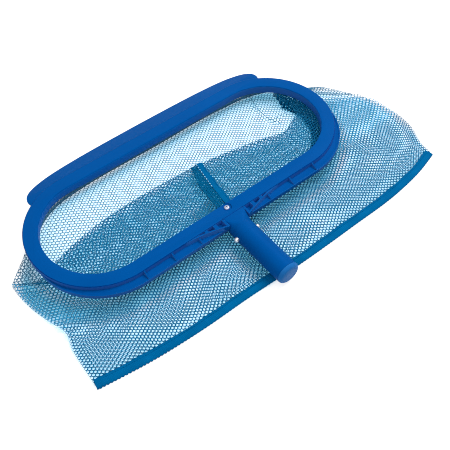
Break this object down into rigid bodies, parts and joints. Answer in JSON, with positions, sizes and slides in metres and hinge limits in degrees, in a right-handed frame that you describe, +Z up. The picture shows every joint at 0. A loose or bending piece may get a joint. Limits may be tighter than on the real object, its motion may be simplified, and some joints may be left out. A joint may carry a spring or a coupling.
{
  "type": "leaf skimmer net",
  "caption": "Pool skimmer net: a long rounded ring with a scoop lip and plug handle holds a folded mesh bag with a sewn bottom hem.",
  "frame": {"origin": "on the handle's axis, at the middle of the stretch of plug that a pole slides over", "axes": "+Y along the handle towards the scoop lip, +X along the ring's long side, +Z up out of the bag's mouth"},
  "size_m": [0.5366, 0.2952, 0.0324],
  "materials": {
    "blue_plastic": "injection-moulded polypropylene, satin",
    "netting": "knitted polyester mesh",
    "webbing": "woven polyester tape",
    "cord": "braided polypropylene welt",
    "screw_steel": "zinc-plated",
    "spring_steel": "spring temper strip",
    "button_metal": "nickel-plated"
  },
  "bodies": {
    "skimmer": {"frame": "blue_plastic", "net_clamp_ring": "blue_plastic", "rim_cord": "cord", "mouth_hem": "webbing", "net_bag": "netting", "centre_seam": "webbing", "bottom_hem": "webbing", "handle": "blue_plastic", "end_cap": "blue_plastic", "handle_screw": "screw_steel", "spring_bow": "spring_steel"},
    "left_lock": {"left_spring_arm": "spring_steel", "left_button": "button_metal"},
    "right_lock": {"right_spring_arm": "spring_steel", "right_button": "button_metal"}
  },
  "joints": [
    {"name": "left_button_press", "type": "hinge", "parent": "skimmer", "child": "left_lock", "pos_m": [-0.0094, -0.01285, 0], "axis": [0, 0, -1], "range_deg": [0, 5.5], "stiffness_Nm_per_rad": 2, "springref_deg": -1.72},
    {"name": "right_button_press", "type": "hinge", "parent": "skimmer", "child": "right_lock", "pos_m": [0.0094, -0.01285, 0], "axis": [0, 0, 1], "range_deg": [0, 5.5], "stiffness_Nm_per_rad": 2, "springref_deg": -1.72}
  ]
}
